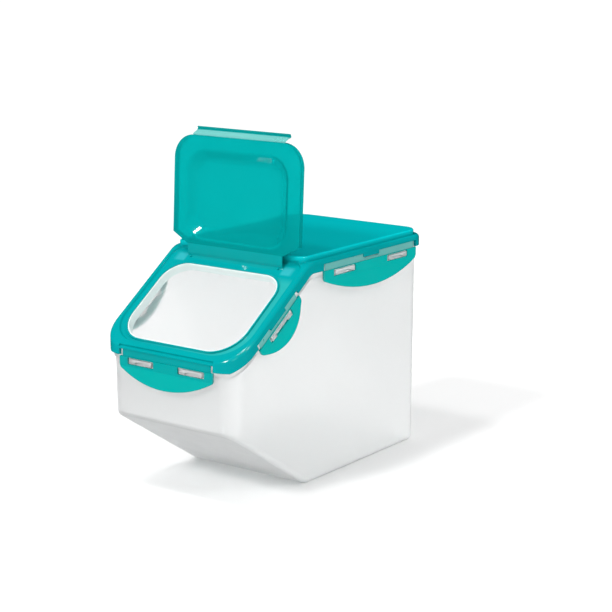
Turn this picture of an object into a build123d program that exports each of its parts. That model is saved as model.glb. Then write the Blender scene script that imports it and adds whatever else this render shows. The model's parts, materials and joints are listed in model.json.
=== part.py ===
from build123d import *
from math import atan2, cos, hypot, pi, radians, sin, tan
import os

# Pet food bin, in millimetres. +Z is up, -Y is the pouring end and X is across the bin.
# The origin is the middle of the footprint, on the surface that the bin stands on.
#
# The lid climbs a slope from the front and then runs level along a rear deck. Heights on the lid
# are measured square to its surface, from the lower edge of its skirt.

# The lid
lid_width = 145.0
lid_depth = 270.0
lid_front_radius = 24.0
lid_rear_radius = 20.0
lid_wall = 1.8
lid_top = 9.5  # top of the frame, above the skirt's lower edge
lid_ceiling = 6.6  # underside of the frame
lid_edge_radius = 3.0
front_height = 113.0  # from the ground to where the slope of the skirt's edge meets the front
front_skirt_height = 116.3  # the skirt and the container's band are cut level at the front
front_band_height = 112.2
deck_height = 181.4  # from the ground to the skirt's lower edge on the rear deck
bend_distance = 98.4  # from the front of the lid to where the slope meets the deck
bend_radius = 10.0
panel_top = 14.0  # raised panel of the deck
panel_inset = 5.0
panel_front_radius = 7.0
panel_edge_radius = 1.4
spigot_outer_inset = 7.6  # inner wall that enters the container
spigot_inner_inset = 9.0
spigot_foot = 1.0
collar_wall = 1.4  # short wall under the pouring opening
collar_foot = 3.0
lid_panel_wall = 2.0
panel_pocket_inset = 6.0

# The container
body_wall = 1.8
bottom_width = 125.5
bottom_front = 129.8  # from the middle of the footprint to the front wall
bottom_rear = 131.2
side_draft = 0.0235  # outward lean of each side wall, per unit of height
end_draft = 0.003
bottom_front_radius = 12.0
front_radius_growth = 0.02  # per unit of height
bottom_rear_radius = 7.0
rear_radius_growth = 0.038
ramp_height = 64.8  # top of the ramp, up the front wall
ramp_top_distance = 4.9  # from the front of the lid to the top of the ramp
ramp_foot_distance = 104.6
foot_radius = 3.0
band_height = 5.0  # thick band round the rim, below the skirt
band_inset = 3.0
lip_height = 3.7  # thin lip that enters the lid
lip_outer_inset = 4.8
lip_inner_inset = 6.8
seal_outer_inset = 4.2
seal_inner_inset = 7.3
seal_gap = 0.05

# The pouring opening, its seal and the sunken land round it
opening_half_width = 59.3
opening_low = 17.6  # along the slope, from the front of the skirt
opening_high = 103.2
opening_low_radius = 25.0
opening_high_radius = 20.0
opening_seal_wall = 1.0
opening_seal_top = 8.9
opening_seal_foot = 1.6
opening_seal_gap = 0.1
opening_seal_edge_radius = 0.4
land_depth = 1.4
land_half_width = 66.9
land_low = 13.6
land_high = 121.0
land_low_radius = 28.0
land_high_radius = 9.0
land_taper = 35.0  # lean of the land's edge, in degrees
catch_groove_low = 4.3  # groove across the front of the frame, for the latch's hook
catch_groove_high = 7.8
catch_groove_depth = 1.5
catch_groove_half_length = 49.5

# The flip lid
hinge_distance = 114.3  # along the slope, from the front of the skirt to the hinge line
hinge_lift = 0.9  # hinge line above the frame
open_lean = radians(3.2)  # past upright
stop_gap = 0.5
flip_half_width = 66.5
flip_low = 8.3  # from the hinge line to the near edge
flip_high = 99.5  # from the hinge line to the far edge
flip_chamfer_half_width = 51.0
flip_chamfer_height = 8.5
flip_corner_radius = 20.0
flip_foot = -0.5  # inner face of the flip lid, above the hinge line
flip_top = 4.7  # top of the rim round its outer face
flip_wall = 1.6
dome_height = 5.6
dome_side_inset = 13.0
dome_far_inset = 11.5
dome_near_inset = 4.0
dome_slope = 7.5  # width of the dome's sloping sides
dome_edge_radius = 9.0
dome_mouth_radius = 6.0
dome_corner_radius = 19.0
flip_edge_radius = 1.2
flip_small_radius = 2.0
flip_web_half_length = 50.0
flip_web_thickness = 1.0
hinge_stop_x = 46.4
hinge_stop_distance = 112.4  # along the slope
hinge_stop_radius = 0.9
hinge_stop_root = 2.0

# The flip lid's latch
latch_axis_gap = 0.9
latch_axis_height = 1.6
latch_tilt = radians(62.0)  # back from the plane of the flip lid
latch_half_length = 48.5
latch_web_length = 6.0
latch_length = 8.3
latch_bar_thickness = 1.3
latch_hook_height = 1.1
latch_hook_reach = 2.5
latch_hook_radius = 0.4

# The locking tabs
tab_wall = 1.8
tab_web_wall = 0.9
tab_web_height = 5.0
tab_arc_height = 13.0  # of the curved edge
tab_flare_start = 13.0  # from the hinge line
tab_flare = 2.6
slot_drop = 8.3  # from the hinge line to the middle of the slots
slot_height = 5.6
slot_corner_radius = 0.9
tab_corner_radius = 4.0
tab_web_margin = 2.5
catch_height = 2.4
catch_pad_length = 6.0  # deeper pad at each end of a catch
catch_pad_height = 4.0
catch_proud = 0.4
catch_root = 8.0
catch_play = 4.0  # between a catch and its slot, along the slot
hinge_gap = 1.0  # from a hinge line up to the edge of the lid
side_gap = 0.3
finger_half_length = 11.5  # finger of the lid over the middle of a side tab's web
finger_drop = 2.1
finger_notch = 3.0
finger_set_back = 0.3

front_y = -lid_depth / 2
rear_y = lid_depth / 2
bend_y = front_y + bend_distance
half_width = lid_width / 2
slope = atan2(deck_height - front_height, bend_distance)
slope_plane = Plane(
    origin=(0, front_y, front_height), x_dir=(1, 0, 0), z_dir=(0, -sin(slope), cos(slope))
)
far = 240.0  # further than anything in the bin

# The flip lid's own plane when it stands open: x across, y from the hinge line towards the far
# edge, z towards its outer face. Heights on the flip lid are measured along that z.
hinge_height = lid_top + hinge_lift
hinge_y = front_y + hinge_distance * cos(slope) - hinge_height * sin(slope)
hinge_z = front_height + hinge_distance * sin(slope) + hinge_height * cos(slope)
flip_plane = Plane(
    origin=(0, hinge_y, hinge_z), x_dir=(-1, 0, 0), z_dir=(0, cos(open_lean), -sin(open_lean))
)
flip_section = Plane(origin=(0, hinge_y, hinge_z), x_dir=flip_plane.y_dir, z_dir=(1, 0, 0))
latch_origin = (
    flip_plane.origin
    + flip_plane.y_dir * (flip_high + latch_axis_gap)
    + flip_plane.z_dir * latch_axis_height
)
latch_angle = pi / 2 - open_lean - latch_tilt
latch_section = Plane(
    origin=latch_origin, x_dir=(0, cos(latch_angle), sin(latch_angle)), z_dir=(1, 0, 0)
)
panel_front_y = hinge_y + flip_top + flip_low * sin(open_lean) + stop_gap


class TabPlace:
    """Where a locking tab hangs: x along its hinge line, y up and z outwards."""

    def __init__(self, name, origin, along, outward, length, depth, slots, slot_length, finger):
        self.name = name
        self.plane = Plane(origin=origin, x_dir=along, z_dir=outward)
        self.section = Plane(origin=origin, x_dir=self.plane.y_dir, z_dir=along)
        self.length = length
        self.depth = depth
        self.slots = slots
        self.slot_length = slot_length
        self.finger = finger


end_tab_length = 98.0
end_slots = (-26.5, 26.5)
end_slot_length = 27.5
deck_tab_length = 136.0
deck_tab_distance = 183.0
deck_slots = (-39.0, 39.0)
deck_slot_length = 31.0
slope_tab_length = 62.0
slope_tab_distance = 66.5
slope_slots = (0.0,)
slope_slot_length = 34.0
tab_depth = 26.5  # from the hinge line to the middle of the curved edge
slope_tab_depth = 23.0
front_hinge_height = 7.5
deck_hinge_height = 4.5
slope_hinge_height = 2.4
slope_tab_y = front_y + slope_tab_distance * cos(slope) - slope_hinge_height * sin(slope)
slope_tab_z = front_height + slope_tab_distance * sin(slope) + slope_hinge_height * cos(slope)
deck_hinge_z = deck_height + deck_hinge_height

tab_places = [
    TabPlace(
        "front_tab",
        (0, front_y, front_height + front_hinge_height),
        (1, 0, 0),
        (0, -1, 0),
        end_tab_length,
        tab_depth,
        end_slots,
        end_slot_length,
        False,
    ),
    TabPlace(
        "rear_tab",
        (0, rear_y, deck_hinge_z),
        (-1, 0, 0),
        (0, 1, 0),
        end_tab_length,
        tab_depth,
        end_slots,
        end_slot_length,
        False,
    ),
]
for side, side_name in ((-1, "left"), (1, "right")):
    tab_places.append(
        TabPlace(
            side_name + "_slope_tab",
            (side * half_width, slope_tab_y, slope_tab_z),
            (0, side * cos(slope), side * sin(slope)),
            (side, 0, 0),
            slope_tab_length,
            slope_tab_depth,
            slope_slots,
            slope_slot_length,
            True,
        )
    )
    tab_places.append(
        TabPlace(
            side_name + "_deck_tab",
            (side * half_width, front_y + deck_tab_distance, deck_hinge_z),
            (0, side, 0),
            (side, 0, 0),
            deck_tab_length,
            tab_depth,
            deck_slots,
            deck_slot_length,
            True,
        )
    )


def bent_slab(low, high, mode=Mode.ADD):
    """The space between two surfaces that follow the slope and the deck."""
    with BuildSketch(Plane.YZ) as side_view:
        with BuildLine():
            ends = []
            for height in (low, high):
                start_y = front_y - 40
                start_z = front_height - 40 * tan(slope) + height / cos(slope)
                turn_y = bend_y - height * tan(slope / 2)
                level = deck_height + height
                path = FilletPolyline(
                    (start_y, start_z), (turn_y, level), (rear_y + 40, level), radius=bend_radius + height
                )
                ends.append((path @ 0, path @ 1))
            Line(ends[0][0], ends[1][0])
            Line(ends[0][1], ends[1][1])
        make_face()
    extrude(side_view.sketch, amount=lid_width, both=True, mode=mode)


def lid_prism(inset, mode=Mode.ADD):
    """An upright block inside the outline of the lid."""
    plan = rounded_face(
        Plane.XY,
        half_width - inset,
        front_y + inset,
        rear_y - inset,
        lid_front_radius - inset,
        lid_rear_radius - inset,
    )
    extrude(plan, amount=far, mode=mode)


def front_block(low, high, depth, mode=Mode.ADD):
    """A block across the front of the lid, between two heights from the ground."""
    with BuildSketch(Plane.XY.offset(low)) as front_strip:
        with Locations((0, front_y)):
            Rectangle(lid_width, depth, align=(Align.CENTER, Align.MIN))
    extrude(front_strip.sketch, amount=high - low, mode=mode)


def container_form(inset):
    """The drafted container with its ramp cut off, every face moved in by the inset."""
    sections = []
    for height in (inset, far):
        sections.append(
            rounded_face(
                Plane.XY.offset(height),
                bottom_width / 2 + side_draft * height - inset,
                inset - bottom_front - end_draft * height,
                bottom_rear + end_draft * height - inset,
                bottom_front_radius + front_radius_growth * height - inset,
                bottom_rear_radius + rear_radius_growth * height - inset,
            )
        )
    loft(sections)
    ramp = atan2(ramp_height, ramp_foot_distance - ramp_top_distance)
    ramp_plane = Plane(
        origin=(0, front_y + ramp_foot_distance, 0),
        x_dir=(1, 0, 0),
        z_dir=(0, -sin(ramp), -cos(ramp)),
    )
    with BuildSketch(ramp_plane.offset(-inset)) as ramp_face:
        Rectangle(far, 3 * far)
    extrude(ramp_face.sketch, amount=far, mode=Mode.SUBTRACT)


def foot_edges(shape):
    """The edges of the bottom and of the ramp."""
    return [edge for face in shape.faces() if face.normal_at().Z < -0.5 for edge in face.edges()]


def outline_edges(faces):
    """The edges round a group of faces, without those between two of them."""
    edges = [edge for face in faces for edge in face.edges()]
    return [edge for edge in edges if sum(edge.is_same(other) for other in edges) == 1]


def upward_faces(shape):
    return [face for face in shape.faces() if face.normal_at().Z > 0.5]


def rounded_face(plane, width, low, high, low_radius, high_radius):
    """A sketch of a rounded rectangle, with its own radius at each end."""
    with BuildSketch(plane) as outline:
        with Locations((0, (low + high) / 2)):
            Rectangle(2 * width, high - low)
        fillet(outline.vertices().group_by(Axis.Y)[0], low_radius)
        fillet(outline.vertices().group_by(Axis.Y)[-1], high_radius)
    return outline.sketch


def opening_prism(grow, low, high, mode=Mode.ADD):
    """The outline of the pouring opening between two heights on the slope."""
    outline = rounded_face(
        slope_plane.offset(low),
        opening_half_width + grow,
        opening_low - grow,
        opening_high + grow,
        opening_low_radius + grow,
        opening_high_radius + grow,
    )
    extrude(outline, amount=high - low, mode=mode)


def land_face(lift):
    """The outline of the sunken land, which widens as it rises from its floor."""
    grow = lift * tan(radians(land_taper))
    return rounded_face(
        slope_plane.offset(lid_top - land_depth + lift),
        land_half_width + grow,
        land_low - grow,
        land_high + grow,
        land_low_radius + grow,
        land_high_radius + grow,
    )


def tab_box(place, x, length, low, high, near, depth, mode=Mode.ADD, radius=0.0):
    """A block in a tab's own plane, from low to high and outwards from near."""
    with BuildSketch(place.plane.offset(near)) as block:
        with Locations((x, (low + high) / 2)):
            if radius > 0:
                RectangleRounded(length, high - low, radius)
            else:
                Rectangle(length, high - low)
    extrude(block.sketch, amount=depth, mode=mode)


def catch(place, x, length, height):
    """A bar on the container that enters a slot, level with the top of the catch's pads."""
    top = catch_pad_height / 2 - slot_drop
    tab_box(place, x, length, top - height, top, -catch_root, catch_root + catch_proud)


# Container: one moulding, with a thick band, a thin lip and the catches round its rim.
front_level_depth = (front_skirt_height - front_height) / tan(slope)

with BuildPart() as cavity:
    container_form(body_wall)
    fillet(foot_edges(cavity.part), foot_radius)

with BuildPart() as rim_band:
    bent_slab(-band_height, 0)
    front_block(front_band_height, front_skirt_height, front_level_depth)
    lid_prism(band_inset, Mode.INTERSECT)
    front_block(0, front_band_height, lid_depth, Mode.SUBTRACT)

with BuildPart() as rim_lip:
    bent_slab(0, lip_height)
    lid_prism(lip_outer_inset, Mode.INTERSECT)
    lid_prism(lip_inner_inset, Mode.SUBTRACT)

with BuildPart() as container_body:
    container_form(0)
    fillet(foot_edges(container_body.part), foot_radius + body_wall)
    bent_slab(0, far / 2, Mode.SUBTRACT)
    add(rim_band.part)
    for place in tab_places:
        catch_length = place.slot_length - catch_play
        pad_x = (catch_length - catch_pad_length) / 2
        for slot in place.slots:
            catch(place, slot, catch_length, catch_height)
            catch(place, slot - pad_x, catch_pad_length, catch_pad_height)
            catch(place, slot + pad_x, catch_pad_length, catch_pad_height)
    add(cavity.part, mode=Mode.SUBTRACT)
    add(rim_lip.part)

# Main lid: one moulding with a sloping frame, a raised deck panel and a spigot inside.
with BuildPart() as lid_shell:
    bent_slab(0, lid_top)
    lid_prism(0, Mode.INTERSECT)
    fillet(outline_edges(upward_faces(lid_shell.part)), lid_edge_radius)

with BuildPart() as lid_hollow:
    bent_slab(-2, lid_ceiling)
    lid_prism(lid_wall, Mode.INTERSECT)

with BuildPart() as spigot:
    bent_slab(spigot_foot, lid_ceiling)
    lid_prism(spigot_outer_inset, Mode.INTERSECT)
    lid_prism(spigot_inner_inset, Mode.SUBTRACT)

panel_width = half_width - panel_inset
panel_rear_y = rear_y - panel_inset
panel_rear_radius = lid_rear_radius - panel_inset

with BuildPart() as deck_panel:
    raised = rounded_face(
        Plane.XY.offset(deck_height + lid_ceiling),
        panel_width,
        panel_front_y,
        panel_rear_y,
        panel_front_radius,
        panel_rear_radius,
    )
    extrude(raised, amount=panel_top - lid_ceiling)
    fillet(deck_panel.faces().sort_by(Axis.Z)[-1].edges(), panel_edge_radius)

with BuildPart() as opening_collar:
    opening_prism(opening_seal_wall + opening_seal_gap + collar_wall, collar_foot, lid_top)
    lid_prism(spigot_outer_inset, Mode.INTERSECT)

with BuildPart() as main_lid:
    add(lid_shell.part)
    add(lid_hollow.part, mode=Mode.SUBTRACT)
    add(spigot.part)
    add(deck_panel.part)
    # The panel is hollow underneath.
    pocket = rounded_face(
        Plane.XY.offset(deck_height),
        panel_width - panel_pocket_inset,
        bend_y + panel_pocket_inset,
        panel_rear_y - panel_pocket_inset,
        panel_front_radius,
        panel_rear_radius - panel_pocket_inset,
    )
    extrude(pocket, amount=panel_top - lid_panel_wall, mode=Mode.SUBTRACT)
    # The sunken land, then the pouring opening with a short collar below it.
    loft([land_face(0), land_face(2 * land_depth)], mode=Mode.SUBTRACT)
    add(opening_collar.part)
    opening_prism(opening_seal_wall + opening_seal_gap, -lid_top, 2 * lid_top, Mode.SUBTRACT)
    # The skirt is level across the front, with a groove above it for the latch's hook.
    front_block(0, front_skirt_height, lid_depth, Mode.SUBTRACT)
    with BuildSketch(slope_plane.offset(lid_top - catch_groove_depth)) as catch_groove:
        with Locations((0, (catch_groove_low + catch_groove_high) / 2)):
            Rectangle(2 * catch_groove_half_length, catch_groove_high - catch_groove_low)
    extrude(catch_groove.sketch, amount=2 * catch_groove_depth, mode=Mode.SUBTRACT)
    # Notches in the skirt where the tabs hang, some with a finger over the middle of the web.
    for place in tab_places:
        tab_box(
            place,
            0,
            place.length + 2 * side_gap,
            -2 * lid_top,
            hinge_gap,
            -lid_wall,
            2 * lid_wall,
            Mode.SUBTRACT,
        )
        if place.finger:
            tab_box(
                place,
                0,
                2 * finger_half_length,
                -finger_drop,
                hinge_gap,
                -lid_wall,
                lid_wall - finger_set_back,
            )
    # Round stops in front of the flip lid's hinge line, near its ends.
    with Locations(slope_plane.offset(lid_top - hinge_stop_root)):
        with Locations((-hinge_stop_x, hinge_stop_distance), (hinge_stop_x, hinge_stop_distance)):
            Cylinder(
                hinge_stop_radius, hinge_stop_root, align=(Align.CENTER, Align.CENTER, Align.MIN)
            )

with BuildPart() as lid_seal:
    bent_slab(lip_height + seal_gap, lid_ceiling - seal_gap)
    lid_prism(seal_outer_inset, Mode.INTERSECT)
    lid_prism(seal_inner_inset, Mode.SUBTRACT)

with BuildPart() as opening_seal:
    opening_prism(opening_seal_wall, opening_seal_foot, opening_seal_top)
    seal_top_face = opening_seal.faces().sort_by(Axis(slope_plane.origin, slope_plane.z_dir))[-1]
    fillet(seal_top_face.edges(), opening_seal_edge_radius)
    opening_prism(0, 0, opening_seal_top + 1, Mode.SUBTRACT)

# Flip lid: a flat plate with a rim and a dome on its outer face, and chamfered corners by the
# hinge.
chamfer_angle = atan2(flip_chamfer_height, flip_half_width - flip_chamfer_half_width)


flip_plate_top = flip_foot + flip_wall


def flip_outline(inset, height):
    """The outline of the flip lid at a height, moved in by the inset."""
    edge = flip_half_width - inset
    low = flip_low + inset
    high = flip_high - inset
    neck = flip_chamfer_half_width - inset * tan(chamfer_angle / 2)
    shoulder = flip_low + flip_chamfer_height + inset * tan((pi / 2 - chamfer_angle) / 2)
    corners = [(-neck, low), (neck, low), (edge, shoulder), (edge, high), (-edge, high), (-edge, shoulder)]
    with BuildSketch(flip_plane.offset(height)) as outline:
        Polygon(*corners, align=None)
        fillet(outline.vertices().group_by(Axis.Y)[-1], flip_corner_radius - inset)
        fillet(outline.vertices().group_by(Axis.Y)[0], flip_small_radius)
    return outline.sketch


def dome_loft(thickness):
    """The dome's outer form, or the recess under it when given the wall's thickness."""
    sections = []
    lean = dome_slope / dome_height
    for height in (-thickness, dome_height - thickness):
        inset = height * lean + thickness * hypot(1, lean)
        sections.append(
            rounded_face(
                flip_plane.offset(flip_plate_top + height),
                flip_half_width - dome_side_inset - inset,
                flip_low + dome_near_inset + inset,
                flip_high - dome_far_inset - inset,
                dome_corner_radius - inset / 2,
                dome_corner_radius - inset / 2,
            )
        )
    loft(sections)


def outermost_face(shape):
    """The flat face furthest out on the flip lid."""
    return shape.faces().sort_by(Axis(flip_plane.origin, flip_plane.z_dir))[-1]


with BuildPart() as flip_dome:
    dome_loft(0)
    fillet(outermost_face(flip_dome.part).edges(), dome_edge_radius + flip_wall)

with BuildPart() as flip_recess:
    dome_loft(flip_wall)
    fillet(outermost_face(flip_recess.part).edges(), dome_edge_radius)

with BuildPart() as flip_lid:
    extrude(flip_outline(0, flip_foot), amount=flip_top - flip_foot)
    fillet(outermost_face(flip_lid.part).edges(), flip_edge_radius)
    extrude(
        flip_outline(flip_wall, flip_plate_top), amount=flip_top - flip_plate_top, mode=Mode.SUBTRACT
    )
    add(flip_dome.part)
    add(flip_recess.part, mode=Mode.SUBTRACT)
    inner_face = flip_lid.faces().sort_by(Axis(flip_plane.origin, flip_plane.z_dir))[0]
    fillet(inner_face.inner_wires()[0].edges(), dome_mouth_radius)

with BuildPart() as flip_lid_web:
    with BuildSketch(flip_section) as web_profile:
        Circle(flip_web_thickness / 2)
        Rectangle(flip_low, flip_web_thickness, align=(Align.MIN, Align.CENTER))
    extrude(web_profile.sketch, amount=flip_web_half_length, both=True)

# Latch: a thin web that hangs from the flip lid's far edge and ends in a hook.
with BuildPart() as flip_latch_web:
    with BuildSketch(latch_section) as latch_profile:
        Circle(flip_web_thickness / 2)
        Rectangle(latch_web_length, flip_web_thickness, align=(Align.MIN, Align.CENTER))
    extrude(latch_profile.sketch, amount=latch_half_length, both=True)

with BuildPart() as flip_latch:
    with BuildSketch(latch_section) as hook_profile:
        with BuildLine():
            low = -latch_bar_thickness / 2
            Polyline(
                (latch_web_length, low),
                (latch_length, low),
                (latch_length, latch_hook_reach),
                (latch_length - latch_hook_height, latch_hook_reach),
                (latch_length - latch_hook_height, -low),
                (latch_web_length, -low),
                close=True,
            )
        make_face()
        fillet(hook_profile.vertices().group_by(Axis.X)[-1], latch_hook_radius)
    extrude(hook_profile.sketch, amount=latch_half_length, both=True)

# Locking tabs: each is a curved plate with slots, hung on a thin web.
tabs = []
for place in tab_places:
    half = place.length / 2
    side_depth = place.depth - tab_arc_height
    with BuildPart() as tab:
        with BuildSketch(place.section) as tab_profile:
            Polygon(
                (-tab_web_height, -tab_wall),
                (-tab_web_height, 0),
                (-tab_flare_start, 0),
                (-place.depth, tab_flare),
                (-place.depth, tab_flare - tab_wall),
                (-tab_flare_start, -tab_wall),
                align=None,
            )
        extrude(tab_profile.sketch, amount=half, both=True)
        with BuildSketch(place.plane.offset(-2 * tab_wall)) as tab_outline:
            with BuildLine():
                Polyline((-half, -side_depth), (-half, 0), (half, 0), (half, -side_depth))
                ThreePointArc((half, -side_depth), (0, -place.depth), (-half, -side_depth))
            make_face()
            fillet(tab_outline.vertices().group_by(Axis.Y)[0], tab_corner_radius)
        extrude(tab_outline.sketch, amount=2 * tab_wall + 2 * tab_flare, mode=Mode.INTERSECT)
        for slot in place.slots:
            tab_box(
                place,
                slot,
                place.slot_length,
                -slot_drop - slot_height / 2,
                -slot_drop + slot_height / 2,
                -2 * tab_wall,
                4 * tab_wall,
                Mode.SUBTRACT,
                slot_corner_radius,
            )
    tab.part.label = place.name

    with BuildPart() as web:
        with BuildSketch(place.section) as tab_web_profile:
            with Locations((0, -tab_wall + tab_web_wall / 2)):
                Circle(tab_web_wall / 2)
                Rectangle(tab_web_height, tab_web_wall, align=(Align.MAX, Align.CENTER))
        extrude(tab_web_profile.sketch, amount=half - tab_web_margin, both=True)
        if place.finger:
            tab_box(
                place,
                0,
                2 * finger_half_length + 2 * side_gap,
                -finger_notch,
                hinge_gap,
                -2 * tab_wall,
                4 * tab_wall,
                Mode.SUBTRACT,
            )
    web.part.label = place.name + "_web"
    tabs.append(tab.part)
    tabs.append(web.part)

container_body.part.label = "container_body"
main_lid.part.label = "main_lid"
lid_seal.part.label = "lid_seal"
opening_seal.part.label = "opening_seal"
flip_lid.part.label = "flip_lid"
flip_lid_web.part.label = "flip_lid_web"
flip_latch.part.label = "flip_latch"
flip_latch_web.part.label = "flip_latch_web"

pieces = [
    container_body.part,
    main_lid.part,
    lid_seal.part,
    opening_seal.part,
    flip_lid.part,
    flip_lid_web.part,
    flip_latch.part,
    flip_latch_web.part,
]
os.makedirs("parts", exist_ok=True)
for piece in pieces + tabs:
    export_step(piece, "parts/" + piece.label + ".step")
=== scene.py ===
"""The looks of the pet food bin: its plastics, its living hinges, and a plain bright studio."""
import json
from math import cos, radians, sin

import bmesh
import bpy
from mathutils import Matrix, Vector


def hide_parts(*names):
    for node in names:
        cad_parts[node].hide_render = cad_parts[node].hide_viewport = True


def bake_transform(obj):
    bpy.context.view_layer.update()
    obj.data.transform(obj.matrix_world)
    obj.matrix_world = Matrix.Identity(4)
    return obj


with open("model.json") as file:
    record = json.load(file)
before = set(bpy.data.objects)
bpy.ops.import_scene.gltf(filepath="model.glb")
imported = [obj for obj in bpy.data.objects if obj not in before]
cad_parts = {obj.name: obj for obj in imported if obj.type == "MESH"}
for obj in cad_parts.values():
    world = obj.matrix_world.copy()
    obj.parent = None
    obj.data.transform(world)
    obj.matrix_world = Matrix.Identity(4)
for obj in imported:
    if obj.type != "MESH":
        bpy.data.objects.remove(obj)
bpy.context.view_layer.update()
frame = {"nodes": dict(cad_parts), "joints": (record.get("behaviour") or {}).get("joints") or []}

MM = 0.001
ORIGIN = Vector((0, 0, 0))
X = Vector((1, 0, 0))
Y = Vector((0, 1, 0))
UP = Vector((0, 0, 1))
WHITE = (1, 1, 1, 1)
joints = {joint["name"]: joint for joint in frame["joints"]}

# The lid's slope, the open flip lid and the free latch, as in the CAD
SLOPE_START = Vector((0, -135.0, 113.0))
SLOPE = radians(34.80)
SLOPE_UP = Vector((0, cos(SLOPE), sin(SLOPE)))
SLOPE_NORMAL = Vector((0, -sin(SLOPE), cos(SLOPE)))
LEAN_DEGREES = 3.2
LEAN = radians(LEAN_DEGREES)
FLIP_UP = Vector((0, sin(LEAN), cos(LEAN)))
LATCH_TILT_DEGREES = 62
LATCH_ANGLE = radians(90 - LEAN_DEGREES - LATCH_TILT_DEGREES)
LATCH_UP = Vector((0, cos(LATCH_ANGLE), sin(LATCH_ANGLE)))

# Surface grain
CLOUD_SCALE = 22
GLOSS_SCALE = 60
GRAIN_SCALE = 700
GRAIN_STRENGTH = 0.012
GRAIN_DEPTH = 0.0003

# Where the lid's painted light changes, in millimetres: from the first number to the second
DECK_HEIGHT = (190, 195)
LAND_BOTTOM = (7.6, 7.9)
LAND_TOP = (8.2, 9.0)
LAND_NEAR_END = (12, 14)
LAND_FAR_END = (98, 105)
LAND_SIDE = (66, 67.6)
LAND_ACROSS = (-50, 60)
CORNER_START = (106, 108)
CORNER_END = (114, 117)
CORNER_INNER_SIDE = (50, 52)
CORNER_OUTER_SIDE = (59, 63)
CORNER_STRENGTH = 0.7

# Where a tab's painted lighter flare begins and ends, as the upward part of its normal
FLARE_START = (0.1, 0.25)
FLARE_END = (0.3, 0.6)

# The container's painted shade on its front end and its painted glow near the foot, in millimetres
FRONT_DEPTH = (-132, -122)
FRONT_ACROSS = (-80, 60)
FRONT_RIGHT_STRENGTH = 0.65
GLOW_STRENGTH = 0.045
GLOW_HEIGHT = 95

# Living hinges, in millimetres: height from the hinge line, and thickness
TAB_HINGE = ((1.2, 0.7), (0.6, 0.8), (0, 0.5), (-0.7, 0.75), (-1.6, 0.8), (-3, 0.8), (-4, 0.8), (-5.2, 0.85))
TAB_HINGE_HALF_LENGTHS = {
    "front_tab": 46.5,
    "rear_tab": 46.5,
    "left_slope_tab": 28.5,
    "right_slope_tab": 28.5,
    "left_deck_tab": 65.5,
    "right_deck_tab": 65.5,
}
TAB_HINGE_COLUMNS = 60
NOTCH_HALF_LENGTH = 12.0
NOTCH_ROWS = 5
FLIP_HINGE_ROOT = ((-2.6, 9.0), (-2.3, 6.0), (-1.9, 3.6), (-1.3, 2.0), (-0.8, 1.2))
FLIP_HINGE_NECK = ((0, 0.8), (1.0, 0.9), (4.5, 1.0), (8.4, 1.0))
FLIP_HINGE_HALF_LENGTH = 50.0
LATCH_HINGE_ROOT = ((-1.2, 1.2), (-0.6, 0.9))
LATCH_HINGE_NECK = ((0, 0.6), (0.8, 0.8), (3.0, 0.9), (6.1, 1.0))
LATCH_HINGE_HALF_LENGTH = 48.5
END_THINNING = 0.7
END_SHARPNESS = 24
CREASE_ANGLE = radians(50)

# Floor and light
FLOOR_HALF = 40.0
FLOOR_DROP = 0.0002
FLOOR_COLOUR = (0.81, 0.81, 0.81, 1)
FLOOR_ROUGHNESS = 0.9
SKY = 1.0
LAMP_AIM = Vector((0, 0, 0.12))
LAMP_DISTANCE = 1.8
SUN_DISTANCE = 2.0
SUN_ANGLE = radians(9)

# Camera
CAMERA_AZIMUTH = radians(36.81)
CAMERA_ELEVATION = radians(12.65)
CAMERA_DISTANCE = 1.4771
CAMERA_TARGET = Vector((0, 0.0520, 0.1294))
CAMERA_LENS = 98.83


def new_material(name):
    """A node material, its node tree and its Principled shader."""
    material = bpy.data.materials.new(name)
    material.use_nodes = True
    tree = material.node_tree
    return material, tree, tree.nodes["Principled BSDF"]


def node(tree, kind, **values):
    """A shader node with its inputs or settings given by name."""
    made = tree.nodes.new(kind)
    for key, value in values.items():
        if key in made.inputs:
            made.inputs[key].default_value = value
        else:
            setattr(made, key, value)
    return made


def noise(tree, scale):
    """Noise over the object's own coordinates, in metres."""
    place = node(tree, "ShaderNodeTexCoord")
    made = node(tree, "ShaderNodeTexNoise", Scale=scale, Detail=3.0)
    tree.links.new(place.outputs["Object"], made.inputs["Vector"])
    return made.outputs["Fac"]


def spread(tree, value, low, high, start=0.3, stop=0.7):
    """A value between start and stop mapped to low to high."""
    made = node(tree, "ShaderNodeMapRange")
    made.inputs["From Min"].default_value = start
    made.inputs["From Max"].default_value = stop
    made.inputs["To Min"].default_value = low
    made.inputs["To Max"].default_value = high
    tree.links.new(value, made.inputs["Value"])
    return made.outputs["Result"]


def rise(tree, value, edges, unit=MM):
    """0 below the first edge and 1 past the second."""
    return spread(tree, value, 0, 1, edges[0] * unit, edges[1] * unit)


def fall(tree, value, edges, low=0, high=1, unit=MM):
    """high below the first edge and low past the second."""
    return spread(tree, value, high, low, edges[0] * unit, edges[1] * unit)


def mixed(tree, factor, a, b):
    """A colour between two colours or sockets."""
    made = node(tree, "ShaderNodeMix", data_type="RGBA")
    for index, value in ((6, a), (7, b)):
        if isinstance(value, tuple):
            made.inputs[index].default_value = (*value, 1)
        else:
            tree.links.new(value, made.inputs[index])
    tree.links.new(factor, made.inputs["Factor"])
    return made.outputs[2]


def product(tree, *factors):
    """The product of several values."""
    result = factors[0]
    for factor in factors[1:]:
        made = node(tree, "ShaderNodeMath", operation="MULTIPLY")
        tree.links.new(result, made.inputs[0])
        tree.links.new(factor, made.inputs[1])
        result = made.outputs["Value"]
    return result


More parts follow.
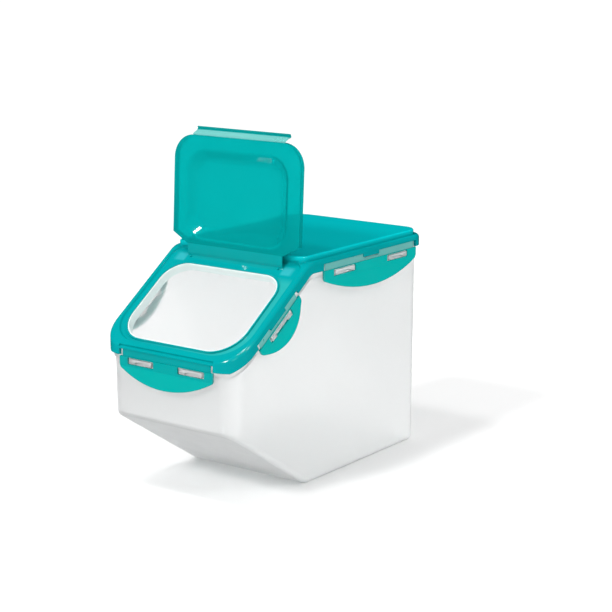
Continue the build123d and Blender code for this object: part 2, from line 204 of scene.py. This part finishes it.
def along_axis(tree, direction, origin=ORIGIN):
    """How far a point of the object lies along a direction, in metres."""
    place = node(tree, "ShaderNodeTexCoord")
    moved = node(tree, "ShaderNodeVectorMath", operation="SUBTRACT")
    tree.links.new(place.outputs["Object"], moved.inputs[0])
    moved.inputs[1].default_value = origin
    dot = node(tree, "ShaderNodeVectorMath", operation="DOT_PRODUCT")
    tree.links.new(moved.outputs["Vector"], dot.inputs[0])
    dot.inputs[1].default_value = direction
    return dot.outputs["Value"]


def plastic(name, dark, light, roughness, transmission, specular=0.5, ior=1.49, tint=None):
    """A moulded plastic with faint cloudiness, uneven gloss and a fine moulded grain."""
    material, tree, shader = new_material(name)
    colour = mixed(tree, spread(tree, noise(tree, CLOUD_SCALE), 0, 1), dark, light)
    # A tint paints light or shade onto the colour
    if tint:
        colour = tint(tree, colour)
    tree.links.new(colour, shader.inputs["Base Color"])
    gloss = spread(tree, noise(tree, GLOSS_SCALE), roughness[0], roughness[1])
    tree.links.new(gloss, shader.inputs["Roughness"])
    grain = node(tree, "ShaderNodeBump", Strength=GRAIN_STRENGTH, Distance=GRAIN_DEPTH)
    tree.links.new(noise(tree, GRAIN_SCALE), grain.inputs["Height"])
    tree.links.new(grain.outputs["Normal"], shader.inputs["Normal"])
    shader.inputs["Transmission Weight"].default_value = transmission
    shader.inputs["Specular IOR Level"].default_value = specular
    shader.inputs["IOR"].default_value = ior
    return material


def lid_painted_light(tree, colour):
    """Painted light: the deck is painted lighter to stand in for light it would catch, and the sunken
    land round the opening and the hinge's corners are painted lighter for light shining through them."""
    # Painted light: the deck above DECK_HEIGHT is a lighter teal
    colour = mixed(tree, rise(tree, along_axis(tree, UP), DECK_HEIGHT), colour, (0.0, 0.56, 0.60))
    origin = SLOPE_START * MM
    height = along_axis(tree, SLOPE_NORMAL, origin)
    distance = along_axis(tree, SLOPE_UP, origin)
    across = along_axis(tree, X)
    absolute = node(tree, "ShaderNodeMath", operation="ABSOLUTE")
    tree.links.new(across, absolute.inputs[0])
    width = absolute.outputs["Value"]
    # Painted light: the sunken land round the opening is painted a lighter teal, standing in for light
    # shining through it
    land = product(
        tree,
        rise(tree, height, LAND_BOTTOM),
        fall(tree, height, LAND_TOP),
        fall(tree, distance, LAND_FAR_END),
        rise(tree, distance, LAND_NEAR_END),
        fall(tree, width, LAND_SIDE),
        rise(tree, across, LAND_ACROSS),
    )
    colour = mixed(tree, land, colour, (0.02, 0.39, 0.38))
    # Painted light: the slope's corners beside the flip lid's hinge are painted lighter, standing in for
    # light shining through them
    corner = product(
        tree,
        fall(tree, height, LAND_TOP),
        rise(tree, distance, CORNER_START),
        fall(tree, distance, CORNER_END),
        rise(tree, width, CORNER_INNER_SIDE),
        fall(tree, width, CORNER_OUTER_SIDE, high=CORNER_STRENGTH),
    )
    return mixed(tree, corner, colour, (0.04, 0.43, 0.48))


def flare_painted_light(tree, colour):
    """Painted light: the flared lower part of a tab faces up and is painted lighter where it would catch
    more light.
    """
    place = node(tree, "ShaderNodeTexCoord")
    parts = node(tree, "ShaderNodeSeparateXYZ")
    tree.links.new(place.outputs["Normal"], parts.inputs[0])
    upward = parts.outputs["Z"]
    flare = product(tree, rise(tree, upward, FLARE_START, unit=1), fall(tree, upward, FLARE_END, unit=1))
    return mixed(tree, flare, colour, (0.0, 0.40, 0.36))


def front_painted_shade(tree, colour):
    """Painted shade: the narrow front end of the container is painted a little darker towards its left."""
    front = fall(tree, along_axis(tree, Y), FRONT_DEPTH)
    left = fall(tree, along_axis(tree, X), FRONT_ACROSS, low=FRONT_RIGHT_STRENGTH)
    return mixed(tree, product(tree, front, left), colour, (0.67, 0.675, 0.675))


frosted = plastic(
    "frosted_polypropylene",
    dark=(0.965, 0.97, 0.97),
    light=(0.985, 0.99, 0.99),
    roughness=(0.36, 0.4),
    transmission=0.8,
    specular=0.3,
    ior=1.25,
    tint=front_painted_shade,
)
lid_teal = plastic(
    "lid_polypropylene",
    dark=(0.0, 0.31, 0.325),
    light=(0.0, 0.33, 0.345),
    roughness=(0.09, 0.12),
    transmission=0.12,
    tint=lid_painted_light,
)
tab_teal = plastic(
    "tab_polypropylene",
    dark=(0.0, 0.335, 0.325),
    light=(0.0, 0.355, 0.345),
    roughness=(0.12, 0.16),
    transmission=0.2,
    tint=flare_painted_light,
)
# Painted light: the side tabs are a lighter, mintier teal than the front and rear tabs, standing in for
# light shining through them
lit_side_tab_teal = plastic(
    "side_tab_polypropylene",
    dark=(0.0, 0.46, 0.425),
    light=(0.0, 0.48, 0.445),
    roughness=(0.12, 0.16),
    transmission=0.2,
)
web_teal = plastic(
    "web_polypropylene",
    dark=(0.0, 0.33, 0.335),
    light=(0.0, 0.35, 0.355),
    roughness=(0.14, 0.18),
    transmission=0.2,
)
flip_teal = plastic(
    "flip_polypropylene",
    dark=(0.0, 0.43, 0.425),
    light=(0.001, 0.45, 0.445),
    roughness=(0.06, 0.09),
    transmission=0.6,
)
# Partly painted light: the side tabs' webs and the latch's web are painted a paler teal to stand in for
# light shining through their thin plastic; the front and rear webs are as thin and keep the plain teal
lit_thin_teal = plastic(
    "lit_thin_teal_polypropylene",
    dark=(0.17, 0.58, 0.55),
    light=(0.21, 0.62, 0.59),
    roughness=(0.26, 0.34),
    transmission=0.35,
)
silicone = plastic(
    "clear_silicone",
    dark=(0.82, 0.94, 0.92),
    light=(0.86, 0.95, 0.94),
    roughness=(0.3, 0.4),
    transmission=0.2,
)

# Painted light: the container glows a little near its foot and the opening's ring glows faintly, standing in
# for light scattered inside them
frosted_tree = frosted.node_tree
frosted_shader = frosted_tree.nodes["Principled BSDF"]
frosted_shader.inputs["Emission Color"].default_value = WHITE
glow = spread(frosted_tree, along_axis(frosted_tree, UP), GLOW_STRENGTH, 0, 0, GLOW_HEIGHT * MM)
frosted_tree.links.new(glow, frosted_shader.inputs["Emission Strength"])
silicone_shader = silicone.node_tree.nodes["Principled BSDF"]
silicone_shader.inputs["Emission Color"].default_value = (0.85, 1, 0.97, 1)
silicone_shader.inputs["Emission Strength"].default_value = 0.04

SIDE_TABS = {"left_slope_tab", "right_slope_tab", "left_deck_tab", "right_deck_tab"}
PALE_WEBS = {name + "_web" for name in SIDE_TABS} | {"flip_latch_web"}
for name, cad in frame["nodes"].items():
    finish = tab_teal
    if name == "container_body":
        finish = frosted
    elif name.endswith("_seal"):
        finish = silicone
    elif name == "main_lid":
        finish = lid_teal
    elif name == "flip_lid":
        finish = flip_teal
    elif name in PALE_WEBS:
        finish = lit_thin_teal
    elif name in SIDE_TABS:
        finish = lit_side_tab_teal
    cad.data.materials.clear()
    cad.data.materials.append(finish)


def strip(name, path, half_length, along, columns=40, notched=False):
    """A closed strip along a path of (point, thickness), thinner towards its ends. A notch leaves
    out the middle of its first rows."""
    mesh = bmesh.new()
    points = [point for point, _ in path]
    normals = []
    for index in range(len(points)):
        before = points[max(index - 1, 0)]
        after = points[min(index + 1, len(points) - 1)]
        normals.append((after - before).cross(along).normalized())
    grid = []
    for column in range(columns + 1):
        where = (2 * column / columns - 1) * half_length
        fade = 1 - END_THINNING * (where / half_length) ** END_SHARPNESS
        rows = []
        for index, (point, thickness) in enumerate(path):
            base = (point + along * where) * MM
            side = normals[index] * (thickness / 2 * fade) * MM
            rows.append((mesh.verts.new(base - side), mesh.verts.new(base + side)))
        grid.append(rows)

    def filled(column, row):
        if not (0 <= column < columns and 0 <= row < len(path) - 1):
            return False
        middle = (2 * (column + 0.5) / columns - 1) * half_length
        return not (notched and abs(middle) < NOTCH_HALF_LENGTH and row < NOTCH_ROWS)

    for column in range(columns):
        for row in range(len(path) - 1):
            if not filled(column, row):
                continue
            a, b = grid[column][row], grid[column + 1][row]
            c, d = grid[column + 1][row + 1], grid[column][row + 1]
            mesh.faces.new((a[0], b[0], c[0], d[0]))
            mesh.faces.new((a[1], d[1], c[1], b[1]))
            for near, far, beside in (
                (a, b, (column, row - 1)),
                (b, c, (column + 1, row)),
                (c, d, (column, row + 1)),
                (d, a, (column - 1, row)),
            ):
                if not filled(*beside):
                    mesh.faces.new((near[0], near[1], far[1], far[0]))
    loose = [vertex for vertex in mesh.verts if not vertex.link_faces]
    bmesh.ops.delete(mesh, geom=loose, context="VERTS")
    bmesh.ops.recalc_face_normals(mesh, faces=mesh.faces)
    for face in mesh.faces:
        face.smooth = True
    data = bpy.data.meshes.new(name)
    mesh.to_mesh(data)
    mesh.free()
    piece = bpy.data.objects.new(name, data)
    bpy.context.scene.collection.objects.link(piece)
    edges = piece.modifiers.new("edges", "EDGE_SPLIT")
    edges.split_angle = CREASE_ANGLE
    return piece


def hinge_point(joint):
    """The middle of a hinge line, in millimetres, and its direction."""
    return Vector(joint["pos_m"]) / MM, Vector(joint["axis"]).normalized()


def hinge_path(middle, direction, profile):
    """Points along a direction from the hinge line, each with its thickness."""
    return [(middle + direction * height, thickness) for height, thickness in profile]


# Living hinges of the tabs
for tab_name, half_length in TAB_HINGE_HALF_LENGTHS.items():
    middle, along = hinge_point(joints[tab_name + "_hinge"])
    out = along.cross(UP).normalized()
    up = out.cross(along).normalized()
    path = hinge_path(middle, up, TAB_HINGE)
    is_side = tab_name in SIDE_TABS
    web = strip(tab_name + "_hinge_strip", path, half_length, along, TAB_HINGE_COLUMNS, is_side)
    # The side tabs' webs get the paler teal with painted light
    web.data.materials.append(lit_thin_teal if is_side else web_teal)
    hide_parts(tab_name + "_web")
    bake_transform(web)

# Living hinge of the flip lid, with a thick root on the frame
middle, along = hinge_point(joints["flip_lid_hinge"])
path = hinge_path(middle, SLOPE_NORMAL, FLIP_HINGE_ROOT) + hinge_path(middle, FLIP_UP, FLIP_HINGE_NECK)
web = strip("flip_lid_hinge_strip", path, FLIP_HINGE_HALF_LENGTH, along)
web.data.materials.append(web_teal)
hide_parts("flip_lid_web")
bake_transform(web)

# Living hinge of the latch
middle, along = hinge_point(joints["flip_latch_hinge"])
path = hinge_path(middle, FLIP_UP, LATCH_HINGE_ROOT) + hinge_path(middle, LATCH_UP, LATCH_HINGE_NECK)
web = strip("flip_latch_hinge_strip", path, LATCH_HINGE_HALF_LENGTH, along)
# The latch's web gets the paler teal with painted light
web.data.materials.append(lit_thin_teal)
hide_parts("flip_latch_web")
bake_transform(web)

# Floor, which doesn't show in the gloss
floor_corners = [
    (-FLOOR_HALF, -FLOOR_HALF, 0),
    (FLOOR_HALF, -FLOOR_HALF, 0),
    (FLOOR_HALF, FLOOR_HALF, 0),
    (-FLOOR_HALF, FLOOR_HALF, 0),
]
floor_mesh = bpy.data.meshes.new("floor")
floor_mesh.from_pydata(floor_corners, [], [(0, 1, 2, 3)])
floor = bpy.data.objects.new("floor", floor_mesh)
floor.location.z = -FLOOR_DROP
bpy.context.scene.collection.objects.link(floor)
floor_material, floor_tree, floor_shader = new_material("studio_floor")
floor_shader.inputs["Base Color"].default_value = FLOOR_COLOUR
floor_shader.inputs["Roughness"].default_value = FLOOR_ROUGHNESS
floor_shader.inputs["Specular IOR Level"].default_value = 0.0
floor_mesh.materials.append(floor_material)
floor.visible_glossy = False

# Lights: an even white sky that doesn't show in the gloss, a soft sun and small softboxes
world = bpy.data.worlds.new("studio")
bpy.context.scene.world = world
world.use_nodes = True
background = world.node_tree.nodes["Background"]
background.inputs["Color"].default_value = WHITE
background.inputs["Strength"].default_value = SKY
world.cycles_visibility.glossy = False


def add_light(name, kind, direction, distance, **settings):
    """A lamp that shines from a direction towards the middle of the bin."""
    lamp = bpy.data.lights.new(name, kind)
    for key, value in settings.items():
        setattr(lamp, key, value)
    lamp_object = bpy.data.objects.new(name, lamp)
    bpy.context.scene.collection.objects.link(lamp_object)
    away = Vector(direction).normalized()
    lamp_object.location = LAMP_AIM + away * distance
    lamp_object.rotation_mode = "QUATERNION"
    lamp_object.rotation_quaternion = (-away).to_track_quat("-Z", "Y")


add_light("sun", "SUN", (-0.17, -1.2, 1.0), SUN_DISTANCE, angle=SUN_ANGLE, energy=1.5)
add_light("softbox_right", "AREA", (1.0, -0.35, 0.9), LAMP_DISTANCE, size=0.3, energy=5.0)
add_light("softbox_top", "AREA", (-0.12, -0.36, 0.93), LAMP_DISTANCE, size=0.22, energy=6.0)

# Camera
camera_data = bpy.data.cameras.new("camera")
camera_data.lens = CAMERA_LENS
camera = bpy.data.objects.new("camera", camera_data)
bpy.context.scene.collection.objects.link(camera)
back = Vector(
    (
        sin(CAMERA_AZIMUTH) * cos(CAMERA_ELEVATION),
        -cos(CAMERA_AZIMUTH) * cos(CAMERA_ELEVATION),
        sin(CAMERA_ELEVATION),
    )
)
camera.location = CAMERA_TARGET + back * CAMERA_DISTANCE
camera.rotation_mode = "QUATERNION"
camera.rotation_quaternion = (-back).to_track_quat("-Z", "Y")
bpy.context.scene.camera = camera
bpy.context.scene.view_settings.view_transform = "Standard"
